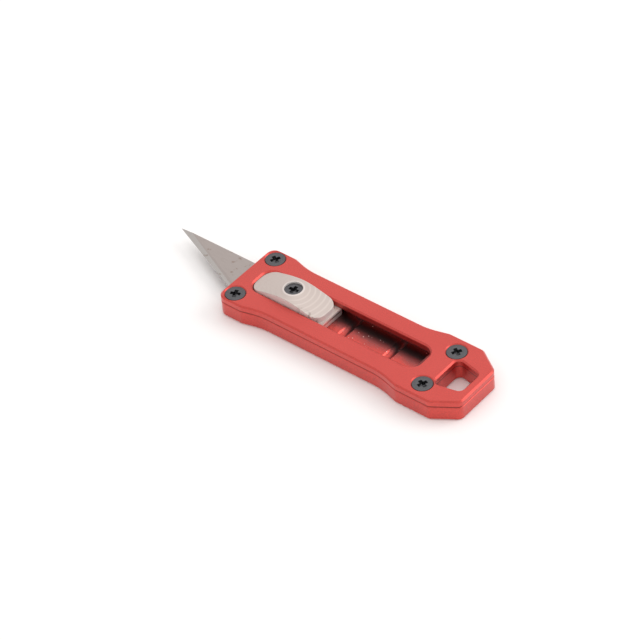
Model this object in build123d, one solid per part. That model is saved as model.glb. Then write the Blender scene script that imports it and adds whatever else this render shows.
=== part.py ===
"""Pocket hobby craft knife with a sliding blade carriage, in millimetres.

+X points forward to the blade's tip, +Z points up, and +Y is the side of the cutting edge.
The origin is the centre of the body's underside. The blade is modelled slid all the way out.
"""
from build123d import *
import os
from math import radians, sqrt, tan

# ---------------------------------------------------------------- driving dimensions
# Blade: the common pointed hobby blade, 40 mm long in 0.5 mm steel
blade_length = 40.0
blade_width = 8.4            # from spine to heel
blade_thickness = 0.5
blade_reach = 19.7           # how far the tip stands out of the body
blade_heel_length = 1.16     # straight part of the heel, behind the cutting edge
blade_tip_drop = 0.1         # the spine leans in by this much between heel and tip
blade_heel_radius = 0.6
blade_bevel_width = 1.15
blade_edge_thickness = 0.03
shank_width = 6.0
shank_length = 17.5
shank_flare_length = 1.2     # from the shank's shoulder out to the heel
shank_slot_width = 2.3
shank_slot_start = 3.3       # from the blade's rear end
shank_slot_length = 10.6

# Travel: from the tip all the way out to the tip covered, in equal steps
tip_cover = 1.1              # how far inside the mouth the tip ends up
detent_steps = 2

# Sliding stack, from the bottom up: carrier, blade, slide flange
carrier_thickness = 0.65
flange_thickness = 0.4
pad_width = 6.2
pad_corner_radius = 2.3
pad_rear_step = 0.3          # flange that shows behind the pad
pad_height = 1.7             # flat ring round the clamp screw, above the body
pad_slope = 16.7             # of the turned cone outside the ring, in degrees
pad_ring_width = 0.2         # flat ring round the clamp screw's head
pad_rim_fillet = 0.1
carriage_corner_radius = 1.3
clamp_screw_in_slot = 5.0    # from the rear end of the shank's slot to the screw's axis
clamp_screw_sink = 0.35      # screw head below the flat ring
rail_height = 0.45           # rails beside the blade's shank, above the carrier plate
key_length = 3.0             # block that fills the shank's slot
key_screw_gap = 0.9          # between the clamp screw and the block

# Body halves
floor_thickness = 1.45
top_thickness = 1.4
side_wall = 2.68             # beside the blade channel, at the waist
head_flare = 1.05            # each side, from the waist out to the front
tail_flare = 1.13            # each side, from the waist out to the tail
head_straight = 5.7          # from the front face to the shoulder
tail_shoulder_to_screws = 3.9
flare_angle = 15.0
waist_radius = 15.0
shoulder_radius = 2.0
front_corner_radius = 1.8
tail_corner_radius = 1.5
tail_cut_length = 4.9        # of the cut-off tail corners, along X
tail_end_width = 10.1
slot_front_wall = 3.42       # from the front face to the thumb slot
slot_corner_radius = 2.2
slot_overrun = 1.5           # slot left behind the pad when the blade is in
slot_to_rear_screws = 3.5
slot_to_lanyard = 4.8
lanyard_length = 5.55
lanyard_front_width = 7.8
lanyard_rear_width = 5.4
lanyard_corner_radius = 1.2
tail_wall = 1.75             # behind the lanyard hole
edge_chamfer = 0.3
parting_chamfer = 0.2
channel_corner_radius = 1.0
groove_width = 1.93
groove_depth = 0.4

# M2 flat-head screws with a cross recess
screw_diameter = 2.0
head_diameter = 3.8
clamp_head_diameter = 3.5    # the clamp screw has the small head
head_rim = 0.1
head_angle = 90.0
recess_width = 1.94
recess_wing = 0.5
recess_depth = 0.95
recess_tip_width = 0.7
recess_turn = 17.0           # how far the crosses are turned from the body's axis, in degrees
screw_point = 0.25           # bevel on the screw's end
body_screw_sink = 0.12
blind_hole_floor = 0.6       # metal left under the body screws' holes
screw_end_gap = 0.25
front_screw_setback = 2.57
front_screw_wall = 1.4       # from the channel's side to the screw's axis
rear_screw_margin = 3.17     # from the tail's side to the screw's axis

# Leaf spring with two prongs, and its rivets
spring_thickness = 0.2
spring_width = 5.3
spring_notch_width = 2.5     # between the prongs, round the clamp screw
spring_tail_margin = 1.25    # from the carrier's rear end
spring_root_length = 3.0     # unslit part that the rivets hold
spring_nose = 0.85           # prong in front of the ridge's centre
spring_lift = 0.02           # spring's underside above the carrier's
ridge_radius = 0.8
ridge_bottom_gap = 0.05      # under the ridge, in the groove
ridge_setback = 1.45         # from the clamp screw back to the ridge
rivet_diameter = 0.9
rivet_head_diameter = 1.4
rivet_spacing = 3.2
rivet_setback = 1.1          # from the spring's rear end

# Clearances
sliding_gap = 0.05           # above and below the sliding stack
side_gap = 0.1               # beside the carriage in the channel, and the pad in the slot
stop_gap = 0.1               # pad to the slot's front end, with the blade out
rear_stop_gap = 0.15         # carriage to the channel's rear end, with the blade in
fit_gap = 0.05               # between pieces that are screwed or pressed together
screw_gap = 0.03             # round a screw's thread and head

# ---------------------------------------------------------------- places worked out from them
travel = blade_reach + tip_cover
detent_pitch = travel / detent_steps

carriage_width = blade_width + 4 * fit_gap
channel_width = carriage_width + 2 * side_gap
slot_width = pad_width + 2 * side_gap
waist_half = channel_width / 2 + side_wall
head_half = waist_half + head_flare
tail_half = waist_half + tail_flare

carrier_bottom = floor_thickness + sliding_gap
carrier_top = carrier_bottom + carrier_thickness
blade_top = carrier_top + blade_thickness
flange_top = blade_top + flange_thickness
base_thickness = flange_top + sliding_gap
body_top = base_thickness + top_thickness
pad_top = body_top + pad_height

carriage_length = blade_length - blade_reach + fit_gap - slot_front_wall - stop_gap
pad_length = carriage_length - pad_rear_step
slot_length = stop_gap + pad_length + travel + slot_overrun
body_length = slot_front_wall + slot_length + slot_to_lanyard + lanyard_length + tail_wall

front_x = body_length / 2
tail_x = -body_length / 2
slot_front_x = front_x - slot_front_wall
slot_rear_x = slot_front_x - slot_length
pad_front_x = slot_front_x - stop_gap
pad_rear_x = pad_front_x - pad_length
carriage_rear_x = pad_front_x - carriage_length
channel_rear_x = carriage_rear_x - travel - rear_stop_gap
blade_tip_x = front_x + blade_reach
blade_rear_x = blade_tip_x - blade_length
clamp_screw_x = blade_rear_x + shank_slot_start + clamp_screw_in_slot
ridge_x = clamp_screw_x - ridge_setback
rear_screw_x = slot_rear_x - slot_to_rear_screws
front_screw_x = front_x - front_screw_setback
front_screw_y = channel_width / 2 + front_screw_wall
rear_screw_y = tail_half - rear_screw_margin
lanyard_front_x = slot_rear_x - slot_to_lanyard
lanyard_rear_x = lanyard_front_x - lanyard_length

clamp_head_top = pad_top - clamp_screw_sink
clamp_screw_end = carrier_bottom + fit_gap
body_head_top = body_top - body_screw_sink
body_screw_end = blind_hole_floor + screw_end_gap

spring_rear_x = carriage_rear_x + spring_tail_margin
spring_bottom = carrier_bottom + spring_lift
spring_top = spring_bottom + spring_thickness
rivet_x = spring_rear_x + rivet_setback
rivet_top = carrier_top - fit_gap

REACH = 5.0                  # how far a cutting tool runs past a face


# ---------------------------------------------------------------- helpers
def block(x_low, x_high, width, z_low, z_high):
    """A box centred on the XZ plane, given by its ends."""
    size = (x_high - x_low, width, z_high - z_low)
    centre = ((x_low + x_high) / 2, 0, (z_low + z_high) / 2)
    return Pos(*centre) * Box(*size)


def prism(points, radii, z_low, z_high):
    """A plan outline with rounded corners, raised from z_low to z_high."""
    face = make_face(FilletPolyline(*points, radius=radii, close=True))
    return Pos(0, 0, z_low) * extrude(face, z_high - z_low, dir=(0, 0, 1))


def rounded_block(x_low, x_high, width, radius, z_low, z_high):
    """A box whose four upright edges are rounded."""
    half = width / 2
    corners = [(x_high, -half), (x_high, half), (x_low, half), (x_low, -half)]
    return prism(corners, [radius] * 4, z_low, z_high)


def upright(x, y, radius, z_low, z_high):
    """An upright cylinder."""
    return Pos(x, y, (z_low + z_high) / 2) * Cylinder(radius, z_high - z_low)


def both_sides(half_points):
    """Closes a half outline, given as (x, y, radius) with y above zero, by its mirror image."""
    points = [(x, y) for x, y, _ in half_points]
    points += [(x, -y) for x, y, _ in reversed(half_points)]
    radii = [radius for *_, radius in half_points]
    return points, radii + radii[::-1]


# ---------------------------------------------------------------- screws
def head_cone(diameter, top, margin, extra):
    """The head's cone grown by margin and carried up by extra, as a countersink needs."""
    slope = tan(radians(head_angle / 2))
    top_radius = diameter / 2 + margin + extra * slope
    foot_radius = screw_diameter / 2 + margin
    height = (top_radius - foot_radius) / slope
    z_high = top - head_rim + extra
    return Pos(0, 0, z_high - height / 2) * Cone(foot_radius, top_radius, height)


def countersink(diameter, top, surface, straight=False):
    """The cutting shape for a screw whose head's top is at top, under a face at surface.
    Above the head its wall carries on as a cone, or goes straight up."""
    extra = 0 if straight else surface - top + head_rim
    cone = head_cone(diameter, top, screw_gap, extra)
    return cone + upright(0, 0, diameter / 2 + screw_gap, top - head_rim, surface + REACH)


def cross_recess(top):
    """Two crossed wings that narrow towards the bottom."""
    wide, narrow = recess_width / 2, recess_tip_width / 2
    section = [(-wide, top + REACH), (wide, top + REACH), (wide, top),
               (narrow, top - recess_depth), (-narrow, top - recess_depth), (-wide, top)]
    wing_face = make_face(Plane.XZ * Polyline(*section, close=True))
    wing = extrude(wing_face, recess_wing / 2, both=True)
    return wing + Rot(0, 0, 90) * wing


def flat_head_screw(diameter, x, y, top, end):
    """An M2 screw with a head of that diameter at top and its bevelled end at end."""
    cone = head_cone(diameter, top, 0, 0)
    rim = upright(0, 0, diameter / 2, top - head_rim, top)
    shank = upright(0, 0, screw_diameter / 2, end, top - head_rim)
    shank = chamfer(shank.edges().sort_by(Axis.Z)[0], screw_point)
    screw = cone + rim + shank - cross_recess(top)
    return Pos(x, y, 0) * Rot(0, 0, recess_turn) * screw


def body_screw_places():
    """Names and centres of the four screws that close the body."""
    places = {}
    for end, x, y in (("front", front_screw_x, front_screw_y), ("rear", rear_screw_x, rear_screw_y)):
        places[f"{end}_left"] = (x, y)
        places[f"{end}_right"] = (x, -y)
    return places


# ---------------------------------------------------------------- body halves
def body_slab(z_low, z_high):
    """The waisted outline that both halves share."""
    run = 1 / tan(radians(flare_angle))
    head_shoulder_x = front_x - head_straight
    tail_shoulder_x = rear_screw_x + tail_shoulder_to_screws
    outline = [
        (front_x, head_half, front_corner_radius),
        (head_shoulder_x, head_half, shoulder_radius),
        (head_shoulder_x - head_flare * run, waist_half, waist_radius),
        (tail_shoulder_x + tail_flare * run, waist_half, waist_radius),
        (tail_shoulder_x, tail_half, shoulder_radius),
        (tail_x + tail_cut_length, tail_half, tail_corner_radius),
        (tail_x, tail_end_width / 2, tail_corner_radius),
    ]
    return prism(*both_sides(outline), z_low, z_high)


def lanyard_opening():
    """The four-sided lanyard hole through both halves."""
    outline = [
        (lanyard_front_x, lanyard_front_width / 2, lanyard_corner_radius),
        (lanyard_rear_x, lanyard_rear_width / 2, lanyard_corner_radius),
    ]
    return prism(*both_sides(outline), -REACH, body_top + REACH)


def make_base_shell():
    base = body_slab(0, base_thickness) - lanyard_opening()
    base = chamfer(base.faces().sort_by(Axis.Z)[0].edges(), edge_chamfer)
    parting_face = base.faces().sort_by(Axis.Z)[-1]
    base = chamfer(parting_face.outer_wire().edges(), parting_chamfer)
    base -= rounded_block(channel_rear_x, front_x + REACH, channel_width, channel_corner_radius,
                          floor_thickness, base_thickness + REACH)
    groove_radius = ((groove_width / 2) ** 2 + groove_depth**2) / (2 * groove_depth)
    groove_z = floor_thickness - groove_depth + groove_radius
    for step in range(detent_steps + 1):
        groove = Rot(90, 0, 0) * Cylinder(groove_radius, channel_width)
        base -= Pos(ridge_x - step * detent_pitch, 0, groove_z) * groove
    for x, y in body_screw_places().values():
        hole = upright(x, y, screw_diameter / 2 + screw_gap, blind_hole_floor, base_thickness + REACH)
        base -= hole
    return base


def make_top_plate():
    plate = body_slab(base_thickness, body_top) - lanyard_opening()
    plate -= rounded_block(slot_rear_x, slot_front_x, slot_width, slot_corner_radius,
                           base_thickness - REACH, body_top + REACH)
    plate = chamfer(plate.faces().sort_by(Axis.Z)[-1].edges(), edge_chamfer)
    parting_face = plate.faces().sort_by(Axis.Z)[0]
    plate = chamfer(parting_face.outer_wire().edges(), parting_chamfer)
    for x, y in body_screw_places().values():
        hole = upright(0, 0, screw_diameter / 2 + screw_gap, base_thickness - REACH, body_top)
        plate -= Pos(x, y, 0) * (hole + countersink(head_diameter, body_head_top, body_top))
    return plate


# ---------------------------------------------------------------- sliding carriage
def make_thumb_slide():
    flange = rounded_block(carriage_rear_x, pad_front_x, carriage_width, carriage_corner_radius,
                           blade_top, flange_top)
    pad = rounded_block(pad_rear_x, pad_front_x, pad_width, pad_corner_radius,
                        blade_top, pad_top + REACH)
    ring_radius = clamp_head_diameter / 2 + pad_ring_width
    cone_height = pad_top - blade_top
    cone_radius = ring_radius + cone_height / tan(radians(pad_slope))
    cone = Pos(clamp_screw_x, 0, blade_top + cone_height / 2) * Cone(cone_radius, ring_radius, cone_height)
    pad = pad & cone
    turned_face = pad.faces().filter_by(GeomType.CONE)[0]
    rim = turned_face.edges() - turned_face.edges().filter_by(GeomType.CIRCLE)
    pad = fillet(rim, pad_rim_fillet)
    hole = upright(0, 0, screw_diameter / 2 + screw_gap, 0, pad_top)
    hole += countersink(clamp_head_diameter, clamp_head_top, pad_top, straight=True)
    return flange + pad - Pos(clamp_screw_x, 0, 0) * hole


def make_blade_carrier():
    plate = rounded_block(carriage_rear_x, pad_front_x, carriage_width, carriage_corner_radius,
                          carrier_bottom, carrier_top)
    rail_front_x = blade_rear_x + shank_length - fit_gap
    rails = rounded_block(carriage_rear_x, pad_front_x, carriage_width, carriage_corner_radius,
                          carrier_top, carrier_top + rail_height)
    rails -= block(carriage_rear_x - REACH, front_x, shank_width + 2 * fit_gap, carrier_top, blade_top)
    rails -= block(rail_front_x, front_x, channel_width, carrier_top, blade_top)
    key_rear_x = clamp_screw_x + screw_diameter / 2 + key_screw_gap
    key = rounded_block(key_rear_x, key_rear_x + key_length, shank_slot_width - 2 * fit_gap, fit_gap * 4,
                        carrier_top, carrier_top + rail_height)
    carrier = plate + rails + key
    carrier -= upright(clamp_screw_x, 0, screw_diameter / 2 + screw_gap, 0, carrier_top)
    carrier -= spring_plan(fit_gap, carrier_bottom - REACH, spring_top)
    carrier -= prong_windows()
    for y in rivet_rows():
        carrier -= Pos(rivet_x, y, 0) * rivet_shape(screw_gap)
    return carrier


def make_blade():
    half_shank = shank_width / 2
    edge_y = blade_width / 2
    spine_y = -blade_width / 2
    shoulder_x = blade_rear_x + shank_length
    tip_y = spine_y + blade_tip_drop
    flare_x = shoulder_x + shank_flare_length
    heel_x = flare_x + blade_heel_length
    outline = [
        (blade_rear_x, -half_shank),
        (shoulder_x, -half_shank),
        (flare_x, spine_y),
        (blade_tip_x, tip_y),
        (heel_x, edge_y),
        (flare_x, edge_y),
        (shoulder_x, half_shank),
        (blade_rear_x, half_shank),
    ]
    radii = [0, 0, 0, 0, blade_heel_radius, blade_heel_radius / 2, 0, 0]
    blade = prism(outline, radii, carrier_top, blade_top)
    slot_x = blade_rear_x + shank_slot_start
    blade -= rounded_block(slot_x, slot_x + shank_slot_length, shank_slot_width,
                           shank_slot_width / 2 - screw_gap, carrier_top - REACH, blade_top + REACH)
    return blade - edge_bevels(heel_x, edge_y, tip_y)


def edge_bevels(heel_x, edge_y, tip_y):
    """The ground faces that meet at the cutting edge, as cutting shapes for both sides."""
    middle = (carrier_top + blade_top) / 2
    edge = Vector(blade_tip_x - heel_x, tip_y - edge_y, 0).normalized()
    along = Plane(origin=(heel_x, edge_y, middle), x_dir=(edge.Y, -edge.X, 0), z_dir=edge)
    half_edge, half_blade = blade_edge_thickness / 2, blade_thickness / 2
    cutters = []
    for side in (1, -1):
        section = [(-REACH, side * half_edge), (0, side * half_edge), (blade_bevel_width, side * half_blade),
                   (blade_bevel_width, side * REACH), (-REACH, side * REACH)]
        face = make_face(along * Polyline(*section, close=True))
        cutters.append(extrude(face, blade_length, both=True))
    return cutters[0] + cutters[1]


# ---------------------------------------------------------------- leaf spring
def spring_plan(margin, z_low, z_high):
    """The spring's flat plan grown by margin: a root with a prong each side of the clamp screw."""
    nose_x = ridge_x + spring_nose
    strip = block(spring_rear_x - margin, nose_x + margin, spring_width + 2 * margin, z_low, z_high)
    notch = block(spring_rear_x + spring_root_length + margin, nose_x + REACH,
                  spring_notch_width - 2 * margin, z_low, z_high)
    return strip - notch


def prong_windows():
    """Openings above the prongs, which rise when the ridge rides over the floor."""
    window = spring_plan(side_gap, carrier_bottom - REACH, carrier_top + REACH)
    root_end_x = spring_rear_x + spring_root_length + fit_gap
    return window - block(spring_rear_x - REACH, root_end_x, channel_width, -REACH, carrier_top + REACH)


def make_detent_spring():
    ridge_bottom = floor_thickness - groove_depth + ridge_bottom_gap
    ridge_z = ridge_bottom + ridge_radius
    inner_radius = ridge_radius - spring_thickness
    tube = Cylinder(ridge_radius, spring_width) - Cylinder(inner_radius, spring_width)
    tube = Pos(ridge_x, 0, ridge_z) * Rot(90, 0, 0) * tube
    below = block(ridge_x - ridge_radius, ridge_x + ridge_radius, spring_width, 0, spring_top)
    notch = block(spring_rear_x + spring_root_length, front_x, spring_notch_width, 0, body_top)
    opening = sqrt(inner_radius**2 - (ridge_z - spring_bottom) ** 2)
    gap = block(ridge_x - opening, ridge_x + opening, spring_width, spring_bottom, spring_top)
    spring = spring_plan(0, spring_bottom, spring_top) - gap + ((tube & below) - notch)
    for y in rivet_rows():
        spring -= upright(rivet_x, y, rivet_diameter / 2 + screw_gap, 0, body_top)
    return spring


def rivet_rows():
    """The rivets' places across the body."""
    return (rivet_spacing / 2, -rivet_spacing / 2)


def rivet_shape(margin):
    """A flush rivet with a countersunk head, grown by margin."""
    shank_radius = rivet_diameter / 2 + margin
    head_radius = rivet_head_diameter / 2 + margin
    head_height = head_radius - shank_radius
    head = Pos(0, 0, rivet_top + margin - head_height / 2) * Cone(shank_radius, head_radius, head_height)
    return head + upright(0, 0, shank_radius, spring_bottom - margin, rivet_top)


# ---------------------------------------------------------------- the assembly
def make_parts():
    parts = {
        "base_shell": make_base_shell(),
        "top_plate": make_top_plate(),
        "thumb_slide": make_thumb_slide(),
        "blade_carrier": make_blade_carrier(),
        "blade": make_blade(),
        "clamp_screw": flat_head_screw(clamp_head_diameter, clamp_screw_x, 0, clamp_head_top,
                                       clamp_screw_end),
        "detent_spring": make_detent_spring(),
    }
    for side, y in zip(("left", "right"), rivet_rows()):
        parts[f"spring_rivet_{side}"] = Pos(rivet_x, y, 0) * rivet_shape(0)
    for name, (x, y) in body_screw_places().items():
        parts[f"body_screw_{name}"] = flat_head_screw(head_diameter, x, y, body_head_top, body_screw_end)
    return parts


def main():
    os.makedirs("parts", exist_ok=True)
    for name, solid in make_parts().items():
        export_step(solid, f"parts/{name}.step")
    print(f"body {body_length:.2f} x {2 * tail_half:.2f} x {body_top:.2f} mm, travel {travel:.2f} mm")


main()
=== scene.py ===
# %% [markdown]
# # A pocket craft knife with a sliding blade
#
# The knife is a sandwich. Two red anodised aluminium halves are held together by four black screws,
# and a bare metal thumb slide carries a pointed hobby blade between them. Everything that moves or
# fits was drawn in CAD and arrives as a fixed frame. Blender remodels the five screws with the
# detail of real ones, gives every piece its finish, and sets up the studio.

import bpy
from math import cos, pi, radians, sin
from mathutils import Matrix, Vector


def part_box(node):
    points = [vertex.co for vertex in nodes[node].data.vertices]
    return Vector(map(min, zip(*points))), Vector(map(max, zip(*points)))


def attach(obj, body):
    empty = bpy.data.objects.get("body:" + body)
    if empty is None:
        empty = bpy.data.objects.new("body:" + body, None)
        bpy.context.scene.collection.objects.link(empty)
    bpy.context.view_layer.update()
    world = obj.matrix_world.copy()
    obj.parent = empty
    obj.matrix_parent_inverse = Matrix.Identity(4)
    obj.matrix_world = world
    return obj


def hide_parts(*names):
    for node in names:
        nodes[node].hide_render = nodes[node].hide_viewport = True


MM = 0.001

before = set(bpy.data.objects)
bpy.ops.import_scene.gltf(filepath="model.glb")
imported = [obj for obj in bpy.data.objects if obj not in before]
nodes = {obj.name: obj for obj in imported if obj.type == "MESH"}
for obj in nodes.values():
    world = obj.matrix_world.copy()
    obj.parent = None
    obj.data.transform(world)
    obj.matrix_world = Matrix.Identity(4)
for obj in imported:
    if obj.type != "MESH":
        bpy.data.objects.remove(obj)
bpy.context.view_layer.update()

# %% [markdown]
# ## Places that the finishes need
#
# A finish often depends on where it is: the milled channel floor is shinier than the blasted outside,
# and the turning marks on the thumb pad run round its screw. Most of those places are read from the
# boxes of the CAD pieces, so they stay right if the design changes. The few that no box shows are
# named values, and those have to be changed by hand.

# %% Read places from the frame
SLIDING_GAP = 0.05 * MM        # under the sliding stack, as drawn in CAD

body_high = Vector(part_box("base_shell")[1])
top_low, top_high = (Vector(corner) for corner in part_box("top_plate"))
pad_low = Vector(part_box("thumb_slide")[0])
carrier_low, carrier_high = (Vector(corner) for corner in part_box("blade_carrier"))
blade_low, blade_high = (Vector(corner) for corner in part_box("blade"))
clamp_low, clamp_high = (Vector(corner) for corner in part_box("clamp_screw"))

body_top = top_high.z
parting_height = top_low.z
channel_floor = carrier_low.z - SLIDING_GAP
clamp_axis = Vector(((clamp_low.x + clamp_high.x) / 2, (clamp_low.y + clamp_high.y) / 2, 0))
print("body top", round(body_top / MM, 2), "channel floor", round(channel_floor / MM, 2))

# %% [markdown]
# ## The camera
#
# The knife is small, so it is seen as in a catalogue: from about half a metre, with a long lens that
# hardly narrows the far end. The camera sits behind the tail on the side of the cutting edge, looks
# down at about 42 degrees, and is tilted a little about its own line of sight.

# %% Camera
CAMERA_AZIMUTH = radians(133.05)      # from +X towards +Y
CAMERA_ELEVATION = radians(42.23)
CAMERA_ROLL = radians(-5.62)
CAMERA_DISTANCE = 547.95 * MM
LENS = 168.75                         # on a sensor 36 mm wide
SENSOR = 36.0
AIM_ALONG = 6.97 * MM
AIM_ACROSS = 2.58 * MM
aim = Vector((AIM_ALONG, AIM_ACROSS, body_top))

outwards = Vector((cos(CAMERA_ELEVATION) * cos(CAMERA_AZIMUTH),
                   cos(CAMERA_ELEVATION) * sin(CAMERA_AZIMUTH),
                   sin(CAMERA_ELEVATION)))
level_right = (-outwards).cross(Vector((0, 0, 1))).normalized()
level_up = level_right.cross(-outwards)
right = cos(CAMERA_ROLL) * level_right + sin(CAMERA_ROLL) * level_up
up = -sin(CAMERA_ROLL) * level_right + cos(CAMERA_ROLL) * level_up

camera_data = bpy.data.cameras.new("camera")
camera_data.lens = LENS
camera_data.sensor_width = SENSOR
camera_data.clip_start = 10 * MM
camera_data.clip_end = 10.0
camera = bpy.data.objects.new("camera", camera_data)
turn = Matrix((right, up, outwards)).transposed().to_4x4()
camera.matrix_world = Matrix.Translation(aim + CAMERA_DISTANCE * outwards) @ turn
bpy.context.scene.collection.objects.link(camera)
bpy.context.scene.camera = camera
print("camera at", [round(value / MM, 1) for value in camera.location])

# %% [markdown]
# ## Colours and nodes
#
# Colours are easiest to choose as the hex values that a paint program shows, but shaders work in
# linear light, so one function converts them. A material is a small network of nodes, and a second
# function adds a node: it sets the node's options, then sets or links its inputs, and gives back the
# output that the next node reads.


# %% Colour and node helpers
def linear(hex_colour):
    """An sRGB hex colour as linear light, fully opaque."""
    channels = [int(hex_colour[start:start + 2], 16) / 255 for start in (0, 2, 4)]
    curve = [c / 12.92 if c <= 0.04045 else ((c + 0.055) / 1.055) ** 2.4 for c in channels]
    return (*curve, 1.0)


def add(tree, kind, inputs=None, out=None, **settings):
    """Adds a node and gives back one output. An input is a value or another node's output."""
    node = tree.nodes.new("ShaderNode" + kind)
    for name, value in settings.items():
        setattr(node, name, value)
    live = [socket for socket in node.inputs if socket.enabled]
    for key, value in (inputs or {}).items():
        socket = live[key] if isinstance(key, int) else next(s for s in live if s.name == key)
        if isinstance(value, bpy.types.NodeSocket):
            tree.links.new(value, socket)
        else:
            socket.default_value = value
    shown = [socket for socket in node.outputs if socket.enabled and out in (None, socket.name)]
    return shown[0] if shown else None


def new_material(name):
    """An empty material and its node tree."""
    material = bpy.data.materials.new(name)
    material.use_nodes = True
    material.node_tree.nodes.clear()
    return material, material.node_tree


# %% [markdown]
# ## Red anodised aluminium
#
# The halves are milled from aluminium, bead blasted, anodised and dyed red. Under the clear red
# oxide there is still metal, so the shader is metallic with a red base colour. Blasting leaves fine
# dimples that spread the highlights. The oxide's own surface reflects a little white light, which a
# full but rough coat gives. Painted shade darkens a thin line along the groove of the seam between
# the halves. The channel is milled after blasting, so its floor is smoother, with the cutter's lines
# along it and a little dust, and a painted shadow darkens the floor along its far side.

# %% Red anodised aluminium: where the milled floor is
BLAST_DIMPLE = 0.18 * MM       # a little coarser than real, so that it shows
DYE_CLOUD = 7 * MM
DUST_SPECK = 0.35 * MM
# The painted shadow on the channel floor, darkest along its far side:
FLOOR_SHADOW_NOISE_SIZE = 2.5 * MM
FLOOR_SHADOW_WANDER = 2.4 * MM        # how far the painted shadow's edge strays
FLOOR_SHADOW_STARTS = 1.9 * MM
FLOOR_SHADOW_FULL = -0.4 * MM
SEAM_SHADE_BAND = 0.09 * MM          # above and below the seam between the halves
CHANNEL_REAR = -14.2 * MM      # just behind the rear end of the milled floor
WALL_MARGIN = 0.2 * MM         # from the carrier's side to just past the channel's wall
FLOOR_BAND = 0.26 * MM         # above and below the middle of the floor and its grooves
FLOOR_MIDDLE = 0.2 * MM        # how far that middle lies under the floor
CUTTER_LINE = 0.12 * MM
CUTTER_STRETCH = 60            # noise cells in a metre, so the lines hardly change along their length
RELIEF_DEPTH = 0.007 * MM

anodised, tree = new_material("bead_blasted_red_anodised_aluminium")
point = add(tree, "TexCoord", out="Object")
x, y, z = add(tree, "SeparateXYZ", {"Vector": point}).node.outputs
near_floor = add(tree, "Math", {0: z, 1: channel_floor - FLOOR_MIDDLE, 2: FLOOR_BAND},
                 operation="COMPARE")
across = add(tree, "Math", {0: y}, operation="ABSOLUTE")
between_walls = add(tree, "Math", {0: across, 1: carrier_high.y + WALL_MARGIN}, operation="LESS_THAN")
in_front = add(tree, "Math", {0: x, 1: CHANNEL_REAR}, operation="GREATER_THAN")
in_channel = add(tree, "Math", {0: between_walls, 1: in_front}, operation="MULTIPLY")
milled = add(tree, "Math", {0: near_floor, 1: in_channel}, operation="MULTIPLY")

# %% Red anodised aluminium: dye, grain, dust, painted shade and painted shadow
clouds = add(tree, "TexNoise", {"Vector": point, "Scale": 1 / DYE_CLOUD, "Detail": 2.0})
grain = add(tree, "TexNoise", {"Vector": point, "Scale": 1 / BLAST_DIMPLE, "Detail": 1.0})
dye = add(tree, "Mix", {"Factor": clouds, "A": linear("CC3C33"), "B": linear("D4463C")},
          data_type="RGBA")
sparkle = add(tree, "MapRange", {"Value": grain, "From Min": 0.35, "From Max": 0.65,
                                 "To Min": 0.85, "To Max": 1.12})
# Painted shade: a thin dark line along the groove of the seam between the halves.
in_seam = add(tree, "Math", {0: z, 1: parting_height, 2: SEAM_SHADE_BAND}, operation="COMPARE")
seam_shade = add(tree, "MapRange", {"Value": in_seam, "To Min": 1.0, "To Max": 0.3})
shade = add(tree, "Math", {0: sparkle, 1: seam_shade}, operation="MULTIPLY")
red = add(tree, "VectorMath", {"Vector": dye, "Scale": shade}, operation="SCALE")
specks = add(tree, "TexNoise", {"Vector": point, "Scale": 1 / DUST_SPECK, "Detail": 0.0})
dusty = add(tree, "MapRange", {"Value": specks, "From Min": 0.80, "From Max": 0.84})
dust = add(tree, "Math", {0: dusty, 1: milled}, operation="MULTIPLY")
# Painted shadow: the milled floor is painted darker towards its far side, where the top plate shades it.
floor_shadow_noise = add(tree, "TexNoise", {"Vector": point, "Scale": 1 / FLOOR_SHADOW_NOISE_SIZE, "Detail": 3.0})
floor_shadow_edge = add(tree, "Math", {0: floor_shadow_noise, 1: FLOOR_SHADOW_WANDER, 2: y}, operation="MULTIPLY_ADD")
floor_shadow_ramp = add(tree, "MapRange", {"Value": floor_shadow_edge, "From Min": FLOOR_SHADOW_STARTS, "From Max": FLOOR_SHADOW_FULL,
                                 "To Min": 0.0, "To Max": 0.8})
floor_shadow = add(tree, "Math", {0: floor_shadow_ramp, 1: milled}, operation="MULTIPLY")
red_with_painted_shadow = add(tree, "Mix", {"Factor": floor_shadow, "A": red, "B": linear("4A4042")}, data_type="RGBA")
colour = add(tree, "Mix", {"Factor": dust, "A": red_with_painted_shadow, "B": linear("E8D8D0")}, data_type="RGBA")
metal = add(tree, "Math", {0: 1.0, 1: dust}, operation="SUBTRACT")

# %% Red anodised aluminium: gloss and relief
blasted = add(tree, "MapRange", {"Value": grain, "From Min": 0.3, "From Max": 0.7,
                                 "To Min": 0.38, "To Max": 0.46})
rough = add(tree, "Mix", {"Factor": milled, "A": blasted, "B": 0.22}, data_type="FLOAT")
along = add(tree, "VectorMath", {0: point, 1: (CUTTER_STRETCH, 1 / CUTTER_LINE, CUTTER_STRETCH)},
            operation="MULTIPLY")
lines = add(tree, "TexNoise", {"Vector": along, "Scale": 1.0, "Detail": 2.0})
relief = add(tree, "Mix", {"Factor": milled, "A": grain, "B": lines}, data_type="FLOAT")
normal = add(tree, "Bump", {"Height": relief, "Distance": RELIEF_DEPTH, "Strength": 1.0})
shader = add(tree, "BsdfPrincipled", {"Base Color": colour, "Metallic": metal, "Roughness": rough,
                                      "Normal": normal, "Coat Weight": 1.0, "Coat Roughness": 0.42})
add(tree, "OutputMaterial", {"Surface": shader})
print("made", anodised.name)
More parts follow.
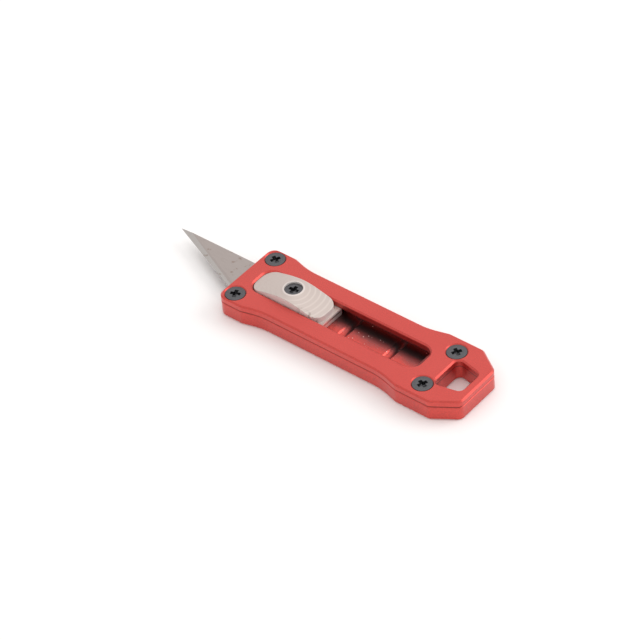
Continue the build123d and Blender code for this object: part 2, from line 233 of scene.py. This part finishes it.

# %% [markdown]
# ## Bare metal thumb slide
#
# The pad's top is a low cone that was turned about the screw hole, in rings about a millimetre
# apart, with a low ridge between each two. Its metal is matt, as if it had been tumbled, so most of
# its light is scattered. The rings are drawn from the distance to the screw's axis, and a painted
# sheen makes their ridges paler, most behind the screw, where they catch the light. A painted
# highlight lightens a thin ring round the screw, and the upright sides are painted paler to offset
# the red light the body bounces onto them, more than onto the real ones. Handling leaves brownish
# dirt along one rim, near the rear.

# %% Bare metal thumb slide
RING_PITCH = 0.98 * MM
RING_DEPTH = 0.01 * MM
RING_WANDER = 3 * MM           # size of the unevenness in the rings
RING_STRAY = 0.25 * MM         # how far it moves them
TOOL_SCRATCH = 0.12 * MM
# Where the painted sheen on the ring ridges is faint and where it is full:
RINGS_FAINT = 1 * MM           # in front of the screw
RINGS_CLEAR = -3 * MM          # behind the screw
SEAT_RADIUS = 1.95 * MM        # of the painted highlight round the screw
SEAT_RIM = 0.16 * MM
HAND_DIRT = 0.9 * MM
DIRT_LENGTH = 6 * MM           # from the rear end of the pad
DIRT_STARTS = 2.2 * MM         # from the middle of the pad towards its side
DIRT_FULL = 2.8 * MM

turned, tree = new_material("ring_turned_bare_aluminium")
point = add(tree, "TexCoord", out="Object")
centred = add(tree, "Mapping", {"Vector": point, "Location": (-clamp_axis.x, -clamp_axis.y, 0)})
flat = add(tree, "VectorMath", {0: centred, 1: (1, 1, 0)}, operation="MULTIPLY")
radius = add(tree, "VectorMath", {0: flat}, operation="LENGTH")
wander = add(tree, "TexNoise", {"Vector": point, "Scale": 1 / RING_WANDER, "Detail": 1.0})
wobble = add(tree, "Math", {0: wander, 1: RING_STRAY}, operation="MULTIPLY")
uneven = add(tree, "Math", {0: radius, 1: wobble}, operation="ADD")
phase = add(tree, "Math", {0: uneven, 1: 2 * pi / RING_PITCH}, operation="MULTIPLY")
rings = add(tree, "Math", {0: phase}, operation="SINE")
scratches = add(tree, "TexNoise", {"Vector": point, "Scale": 1 / TOOL_SCRATCH, "Detail": 3.0})
ring_height = add(tree, "Math", {0: scratches, 1: 0.25, 2: rings}, operation="MULTIPLY_ADD")
normal = add(tree, "Bump", {"Height": ring_height, "Distance": RING_DEPTH, "Strength": 1.0})

x, y, z = add(tree, "SeparateXYZ", {"Vector": point}).node.outputs
dirt_noise = add(tree, "TexNoise", {"Vector": point, "Scale": 1 / HAND_DIRT, "Detail": 4.0})
rear_rim = add(tree, "MapRange", {"Value": x, "From Min": pad_low.x, "From Max": pad_low.x + DIRT_LENGTH,
                                  "To Min": 1.0, "To Max": 0.0})
near_side = add(tree, "MapRange", {"Value": y, "From Min": DIRT_STARTS, "From Max": DIRT_FULL})
edge_zone = add(tree, "Math", {0: near_side, 1: rear_rim}, operation="MULTIPLY")
dirty_spot = add(tree, "MapRange", {"Value": dirt_noise, "From Min": 0.5, "From Max": 0.58})
dirt = add(tree, "Math", {0: dirty_spot, 1: edge_zone}, operation="MULTIPLY")
# Painted sheen: the ring ridges are painted paler, most behind the screw, where they catch the light.
ridge = add(tree, "MapRange", {"Value": rings, "From Min": 0.2, "From Max": 1.0})
behind_screw = add(tree, "MapRange", {"Value": x, "From Min": clamp_axis.x + RINGS_FAINT,
                                      "From Max": clamp_axis.x + RINGS_CLEAR,
                                      "To Min": 0.15, "To Max": 1.0})
ring_ridge_painted_sheen = add(tree, "Math", {0: ridge, 1: behind_screw}, operation="MULTIPLY")
top = add(tree, "Mix", {"Factor": ring_ridge_painted_sheen, "A": linear("C5B7B0"), "B": linear("CFC2BB")},
          data_type="RGBA")
# Painted light: the upright sides are painted paler, to offset the red light that the body bounces onto
# them.
up = add(tree, "SeparateXYZ", {"Vector": add(tree, "NewGeometry", out="Normal")}, out="Z")
upright_painted_light = add(tree, "MapRange", {"Value": up, "From Min": 0.5, "From Max": 0.0,
                              "To Min": 0.0, "To Max": 0.8})
# Painted highlight: a thin paler ring round the screw's seat.
near_screw = add(tree, "Math", {0: radius, 1: SEAT_RADIUS, 2: SEAT_RIM}, operation="COMPARE")
seat_painted_highlight = add(tree, "Math", {0: near_screw, 1: 0.3}, operation="MULTIPLY")
painted_light_mask = add(tree, "Math", {0: upright_painted_light, 1: seat_painted_highlight}, operation="MAXIMUM")
# The pad's colour with its painted light mixed in: the paler upright sides and the highlight round the
# screw.
bare = add(tree, "Mix", {"Factor": painted_light_mask, "A": top, "B": linear("F2ECE9")}, data_type="RGBA")
colour = add(tree, "Mix", {"Factor": dirt, "A": bare, "B": linear("6E5248")}, data_type="RGBA")
rough = add(tree, "MapRange", {"Value": rings, "From Min": -1.0, "From Max": 1.0,
                               "To Min": 0.42, "To Max": 0.50})
shader = add(tree, "BsdfPrincipled", {"Base Color": colour, "Metallic": 0.25, "Roughness": rough,
                                      "Normal": normal})
add(tree, "OutputMaterial", {"Surface": shader})
print("made", turned.name)

# %% [markdown]
# ## Rolled carrier plate
#
# The carrier under the blade is cut from rolled sheet, and its cut edges show the rolling as very
# thin layers.

# %% Rolled carrier plate
ROLLING_LINE = 0.08 * MM
ROLLING_STRETCH = 300          # noise cells in a metre
ROLLING_DEPTH = 0.01 * MM

rolled, tree = new_material("rolled_bare_aluminium_sheet")
point = add(tree, "TexCoord", out="Object")
layers = add(tree, "VectorMath", {0: point, 1: (ROLLING_STRETCH, ROLLING_STRETCH, 1 / ROLLING_LINE)},
             operation="MULTIPLY")
lines = add(tree, "TexNoise", {"Vector": layers, "Scale": 1.0, "Detail": 2.0})
normal = add(tree, "Bump", {"Height": lines, "Distance": ROLLING_DEPTH, "Strength": 1.0})
colour = add(tree, "Mix", {"Factor": lines, "A": linear("B4AAA8"), "B": linear("D4CCCA")},
             data_type="RGBA")
shader = add(tree, "BsdfPrincipled", {"Base Color": colour, "Metallic": 0.35, "Roughness": 0.4,
                                      "Normal": normal})
add(tree, "OutputMaterial", {"Surface": shader})
print("made", rolled.name)

# %% [markdown]
# ## Ground carbon steel blade
#
# A hobby blade is stamped from carbon steel strip, and only its edge is ground. The flat keeps the
# satin lines of the strip, while the grinding wheel leaves a slightly paler bevel with short lines
# across the edge. Carbon steel stains, so noise scatters a few brown spots over both.

# %% Ground carbon steel blade: where the bevel is
BEVEL_WIDTH = 1.15 * MM
HEEL_LENGTH = 1.16 * MM
TIP_INSET = 0.1 * MM           # of the tip from the blade's back
heel = Vector((body_high.x + HEEL_LENGTH, blade_high.y, 0))
tip = Vector((blade_high.x, blade_low.y + TIP_INSET, 0))
edge = (tip - heel).normalized()
inward = Vector((edge.y, -edge.x, 0))
print("cutting edge", round((tip - heel).length / MM, 2), "mm long")

steel, tree = new_material("ground_carbon_steel")
point = add(tree, "TexCoord", out="Object")
from_heel = add(tree, "VectorMath", {0: point, 1: tuple(heel)}, operation="SUBTRACT")
depth = add(tree, "VectorMath", {0: from_heel, 1: tuple(inward)}, out="Value",
            operation="DOT_PRODUCT")
length = add(tree, "VectorMath", {0: from_heel, 1: tuple(edge)}, out="Value",
             operation="DOT_PRODUCT")
on_bevel = add(tree, "Math", {0: depth, 1: BEVEL_WIDTH}, operation="LESS_THAN")

# %% Ground carbon steel blade: lines, stains and shader
STRIP_LINE = 0.07 * MM
STRIP_STRETCH = 400            # noise cells in a metre
WHEEL_LINE = 0.06 * MM
WHEEL_STRETCH = 500
LINE_DEPTH = 0.004 * MM
STAIN = 1.3 * MM

strip = add(tree, "VectorMath", {0: point, 1: (STRIP_STRETCH, 1 / STRIP_LINE, STRIP_STRETCH)},
            operation="MULTIPLY")
strip_lines = add(tree, "TexNoise", {"Vector": strip, "Scale": 1.0, "Detail": 3.0})
wheel = add(tree, "CombineXYZ", {"X": length, "Y": depth})
wheel_scaled = add(tree, "VectorMath", {0: wheel, 1: (1 / WHEEL_LINE, WHEEL_STRETCH, 0)},
                   operation="MULTIPLY")
wheel_lines = add(tree, "TexNoise", {"Vector": wheel_scaled, "Scale": 1.0, "Detail": 2.0})
relief = add(tree, "Mix", {"Factor": on_bevel, "A": strip_lines, "B": wheel_lines},
             data_type="FLOAT")
normal = add(tree, "Bump", {"Height": relief, "Distance": LINE_DEPTH, "Strength": 1.0})
plain = add(tree, "Mix", {"Factor": strip_lines, "A": linear("A59A96"), "B": linear("B7ADA8")},
            data_type="RGBA")
ground = add(tree, "Mix", {"Factor": wheel_lines, "A": linear("B0ABA8"), "B": linear("C2BCB8")},
            data_type="RGBA")
clean = add(tree, "Mix", {"Factor": on_bevel, "A": plain, "B": ground}, data_type="RGBA")
blots = add(tree, "TexNoise", {"Vector": point, "Scale": 1 / STAIN, "Detail": 3.0})
stained = add(tree, "MapRange", {"Value": blots, "From Min": 0.62, "From Max": 0.74,
                                 "To Min": 0.0, "To Max": 0.8})
colour = add(tree, "Mix", {"Factor": stained, "A": clean, "B": linear("7A5A44")},
             data_type="RGBA")
shader = add(tree, "BsdfPrincipled", {"Base Color": colour, "Metallic": 1.0, "Roughness": 0.36,
                                      "Normal": normal})
add(tree, "OutputMaterial", {"Surface": shader})
print("made", steel.name)

# %% [markdown]
# ## Black oxide screws
#
# The screws are hardened steel, blackened in a hot salt bath. The oxide is thin and almost neutral
# in colour, and the oil on it keeps it half glossy. It wears unevenly, so one noise mottles it with
# paler flecks and makes the surface a little uneven.

# %% Black oxide steel
OXIDE_FLECK = 0.2 * MM
OXIDE_DEPTH = 0.006 * MM

blackened, tree = new_material("black_oxide_steel")
point = add(tree, "TexCoord", out="Object")
flecks = add(tree, "TexNoise", {"Vector": point, "Scale": 1 / OXIDE_FLECK, "Detail": 2.0})
colour = add(tree, "Mix", {"Factor": flecks, "A": linear("4A4A4C"), "B": linear("767578")},
             data_type="RGBA")
normal = add(tree, "Bump", {"Height": flecks, "Distance": OXIDE_DEPTH, "Strength": 1.0})
shader = add(tree, "BsdfPrincipled", {"Base Color": colour, "Metallic": 1.0, "Roughness": 0.38,
                                      "Normal": normal})
add(tree, "OutputMaterial", {"Surface": shader})
print("made", blackened.name)

# %% [markdown]
# ## Hidden steel parts
#
# The forked leaf spring is blued strip, and the two rivets are plain drawn wire. Both are seen only
# when the knife is taken apart, but they get honest finishes too.

# %% Blued spring strip and plain rivets
HEAT_TINT = 2 * MM
WIRE_PIT = 0.1 * MM

blued, tree = new_material("blued_spring_steel_strip")
point = add(tree, "TexCoord", out="Object")
tint = add(tree, "TexNoise", {"Vector": point, "Scale": 1 / HEAT_TINT, "Detail": 2.0})
colour = add(tree, "Mix", {"Factor": tint, "A": linear("4A5470"), "B": linear("6C6A80")},
             data_type="RGBA")
shader = add(tree, "BsdfPrincipled", {"Base Color": colour, "Metallic": 1.0, "Roughness": 0.3})
add(tree, "OutputMaterial", {"Surface": shader})

drawn, tree = new_material("drawn_steel_wire")
point = add(tree, "TexCoord", out="Object")
pits = add(tree, "TexNoise", {"Vector": point, "Scale": 1 / WIRE_PIT, "Detail": 2.0})
colour = add(tree, "Mix", {"Factor": pits, "A": linear("9C9C9E"), "B": linear("C4C4C6")},
             data_type="RGBA")
shader = add(tree, "BsdfPrincipled", {"Base Color": colour, "Metallic": 1.0, "Roughness": 0.35})
add(tree, "OutputMaterial", {"Surface": shader})
print("made", blued.name, "and", drawn.name)

# %% [markdown]
# ## Finishes on the CAD pieces
#
# A CAD piece keeps its shape. Only the material in its slot changes.

# %% Give each CAD piece its finish
finishes = {
    "base_shell": anodised,
    "top_plate": anodised,
    "thumb_slide": turned,
    "blade_carrier": rolled,
    "blade": steel,
    "detent_spring": blued,
    "spring_rivet_left": drawn,
    "spring_rivet_right": drawn,
}
for name, finish in finishes.items():
    nodes[name].material_slots[0].material = finish
print(len(finishes), "CAD pieces finished")

# %% [markdown]
# ## A flat-head screw with a cross recess
#
# The real screw is headed cold: a punch forms the countersunk head and the cross in one blow, so
# the cross has soft edges and slopes inwards. It could be carved by hand from a cylinder, but a
# boolean is closer to the real punch: the screw is drawn as a cylinder that is extruded and resized
# into rim, cone, shank and point, and then a punch of two crossed, tapered bars is cut out of it.

# %% Screw sizes and selection helpers
SHANK_DIAMETER = 2.0 * MM
HEAD_RIM = 0.1 * MM
POINT_BEVEL = 0.25 * MM
CROSS_WIDTH = 2.05 * MM
CROSS_WING = 0.8 * MM
CROSS_DEPTH = 0.95 * MM
CROSS_TIP_WIDTH = 1.5 * MM
CROSS_NARROWING = 0.8          # thickness of the wings at the bottom, times that at the top
CROSS_ROUNDING = 0.08 * MM
SCREW_ROUNDING = 0.08 * MM
PUNCH_STANDS_PROUD = 0.02 * MM
SIDES = 64


def select_nothing():
    """Goes to object mode with nothing selected, because an operator acts on all that is."""
    if bpy.context.object and bpy.context.object.mode != "OBJECT":
        bpy.ops.object.mode_set(mode="OBJECT")
    bpy.ops.object.select_all(action="DESELECT")


def select_faces(piece, wanted):
    """In edit mode, selects the faces for which wanted(centre, normal) is true."""
    bpy.ops.mesh.select_all(action="DESELECT")
    bpy.ops.mesh.select_mode(type="FACE")
    bpy.ops.object.mode_set(mode="OBJECT")
    for face in piece.data.polygons:
        face.select = wanted(face.center, face.normal)
    bpy.ops.object.mode_set(mode="EDIT")


def apply_modifier(piece, kind, **settings):
    """Adds a modifier, sets it and applies it."""
    modifier = piece.modifiers.new(kind.lower(), kind)
    for name, value in settings.items():
        setattr(modifier, name, value)
    bpy.context.view_layer.objects.active = piece
    bpy.ops.object.modifier_apply(modifier=modifier.name)


# %% Model the punch
def make_punch():
    """Two crossed bars that narrow downwards, centred on the origin."""
    select_nothing()
    bars = []
    for quarter in (0, 1):
        bpy.ops.mesh.primitive_cube_add(size=1, location=(0, 0, 0))
        bar = bpy.context.object
        bpy.ops.transform.resize(value=(CROSS_WIDTH, CROSS_WING, CROSS_DEPTH))
        bpy.ops.object.transform_apply(location=False, rotation=False, scale=True)
        bpy.ops.object.mode_set(mode="EDIT")
        select_faces(bar, lambda centre, normal: normal.z < -0.9)
        bpy.ops.transform.resize(value=(CROSS_TIP_WIDTH / CROSS_WIDTH, CROSS_NARROWING, 1))
        bpy.ops.object.mode_set(mode="OBJECT")
        bar.rotation_euler.z = quarter * pi / 2
        bpy.ops.object.transform_apply(location=False, rotation=True, scale=False)
        bars.append(bar)
    apply_modifier(bars[0], "BOOLEAN", object=bars[1], operation="UNION", solver="EXACT")
    bpy.data.objects.remove(bars[1])
    apply_modifier(bars[0], "BEVEL", width=CROSS_ROUNDING, segments=3, limit_method="ANGLE",
                   angle_limit=radians(40))
    return bars[0]


# %% Model one screw
def make_screw(name, node):
    """A flat-head screw as large as a CAD node's, along Z, the top of its head at z = 0."""
    low, high = (Vector(corner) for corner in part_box(node))
    length = high.z - low.z
    head_diameter = high.x - low.x
    select_nothing()
    bpy.ops.mesh.primitive_cylinder_add(vertices=SIDES, radius=head_diameter / 2, depth=HEAD_RIM,
                                        end_fill_type="NGON", location=(0, 0, -HEAD_RIM / 2))
    screw = bpy.context.object
    screw.name = name
    bpy.ops.object.transform_apply(location=True, rotation=False, scale=False)
    bpy.ops.object.mode_set(mode="EDIT")
    select_faces(screw, lambda centre, normal: normal.z < -0.9)

    cone = (head_diameter - SHANK_DIAMETER) / 2
    shank = length - HEAD_RIM - cone - POINT_BEVEL
    steps = (
        (cone, SHANK_DIAMETER / head_diameter),
        (shank, 1.0),
        (POINT_BEVEL, 1 - 2 * POINT_BEVEL / SHANK_DIAMETER),
    )
    for depth, shrink in steps:
        bpy.ops.mesh.extrude_region_move(TRANSFORM_OT_translate={"value": (0, 0, -depth)})
        bpy.ops.transform.resize(value=(shrink, shrink, 1))
    bpy.ops.object.mode_set(mode="OBJECT")

    punch = make_punch()
    punch.location.z = -CROSS_DEPTH / 2 + PUNCH_STANDS_PROUD
    apply_modifier(screw, "BOOLEAN", object=punch, operation="DIFFERENCE", solver="EXACT")
    bpy.data.objects.remove(punch)
    apply_modifier(screw, "BEVEL", width=SCREW_ROUNDING, segments=3, limit_method="ANGLE",
                   angle_limit=radians(35))
    select_nothing()
    screw.select_set(True)
    bpy.context.view_layer.objects.active = screw
    bpy.ops.object.shade_smooth_by_angle(angle=radians(35))
    screw.data.materials.clear()
    screw.data.materials.append(blackened)
    print(name, "has", len(screw.data.polygons), "faces")
    return screw


# %% [markdown]
# ## Five screws in their places
#
# The body screws are alike, so one is modelled and copied. The clamp screw is longer and has a
# smaller head. Each stands where its CAD screw does. Nobody lines the crosses up, so each is turned
# its own way.

# %% Put the screws in
CROSS_TURNS = {
    "body_screw_front_left": 22,
    "body_screw_front_right": -27,
    "body_screw_rear_left": -20,
    "body_screw_rear_right": -31,
    "clamp_screw": 4,
}


def put_screw(screw, node, body):
    """Moves a screw to its CAD node's place, turns its cross and makes it stand for that node."""
    low, high = (Vector(corner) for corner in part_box(node))
    screw.name = node + "_detailed"
    screw.location = ((low.x + high.x) / 2, (low.y + high.y) / 2, high.z)
    screw.rotation_euler.z = radians(CROSS_TURNS[node])
    select_nothing()
    screw.select_set(True)
    bpy.context.view_layer.objects.active = screw
    bpy.ops.object.transform_apply(location=True, rotation=True, scale=True)
    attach(screw, body)
    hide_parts(node)


pattern = make_screw("body_screw_pattern", "body_screw_front_left")
body_screws = [name for name in CROSS_TURNS if name.startswith("body_screw")]
for name in body_screws:
    copy = pattern.copy()
    copy.data = pattern.data.copy()
    bpy.context.scene.collection.objects.link(copy)
    put_screw(copy, name, "body")
bpy.data.objects.remove(pattern)
clamp_screw = make_screw("clamp_screw_pattern", "clamp_screw")
put_screw(clamp_screw, "clamp_screw", "blade_carriage")
print("placed", len(body_screws) + 1, "screws")

# %% [markdown]
# ## The studio
#
# The knife lies on white paper. A large soft light stands behind the tail on the side of the spine,
# a second one hangs almost overhead, and a weak one in front of the knife, also on the spine's side,
# fills in. An even white surround lifts the shadows.

# %% Paper floor
PAPER_SIZE = 3.0               # metres, far past the edge of the picture

paper, tree = new_material("matt_white_paper")
shader = add(tree, "BsdfPrincipled", {"Base Color": linear("FAF8F7"), "Roughness": 1.0,
                                      "Specular IOR Level": 0.0})
add(tree, "OutputMaterial", {"Surface": shader})
select_nothing()
bpy.ops.mesh.primitive_plane_add(size=PAPER_SIZE, location=(0, 0, 0))
floor = bpy.context.object
floor.name = "paper_floor"
floor.data.materials.append(paper)

# %% Lights
LIGHT_DISTANCE = 0.6
LIGHTS = (
    # name, azimuth and elevation in degrees, width and height in metres, brightness
    ("key", 226, 36, 0.40, 0.30, 2.6),
    ("fill", 305, 48, 0.50, 0.40, 0.2),
    ("overhead", 240, 84, 0.45, 0.45, 1.0),
)
SURROUND_STRENGTH = 0.85


def softbox(name, azimuth, elevation, width, height, brightness):
    """A rectangular light that faces the knife and looks equally bright at any size."""
    light = bpy.data.lights.new(name, "AREA")
    light.shape = "RECTANGLE"
    light.size = width
    light.size_y = height
    light.energy = brightness * pi * width * height
    lamp = bpy.data.objects.new(name, light)
    direction = Vector((cos(elevation) * cos(azimuth), cos(elevation) * sin(azimuth), sin(elevation)))
    lamp.location = LIGHT_DISTANCE * direction
    lamp.rotation_euler = direction.to_track_quat("Z", "Y").to_euler()
    bpy.context.scene.collection.objects.link(lamp)
    return lamp


for name, azimuth, elevation, width, height, brightness in LIGHTS:
    softbox(name, radians(azimuth), radians(elevation), width, height, brightness)

world = bpy.data.worlds.new("white_surround")
world.use_nodes = True
world.node_tree.nodes["Background"].inputs["Color"].default_value = (1.0, 0.99, 0.985, 1.0)
world.node_tree.nodes["Background"].inputs["Strength"].default_value = SURROUND_STRENGTH
bpy.context.scene.world = world
bpy.context.scene.view_settings.view_transform = "Standard"
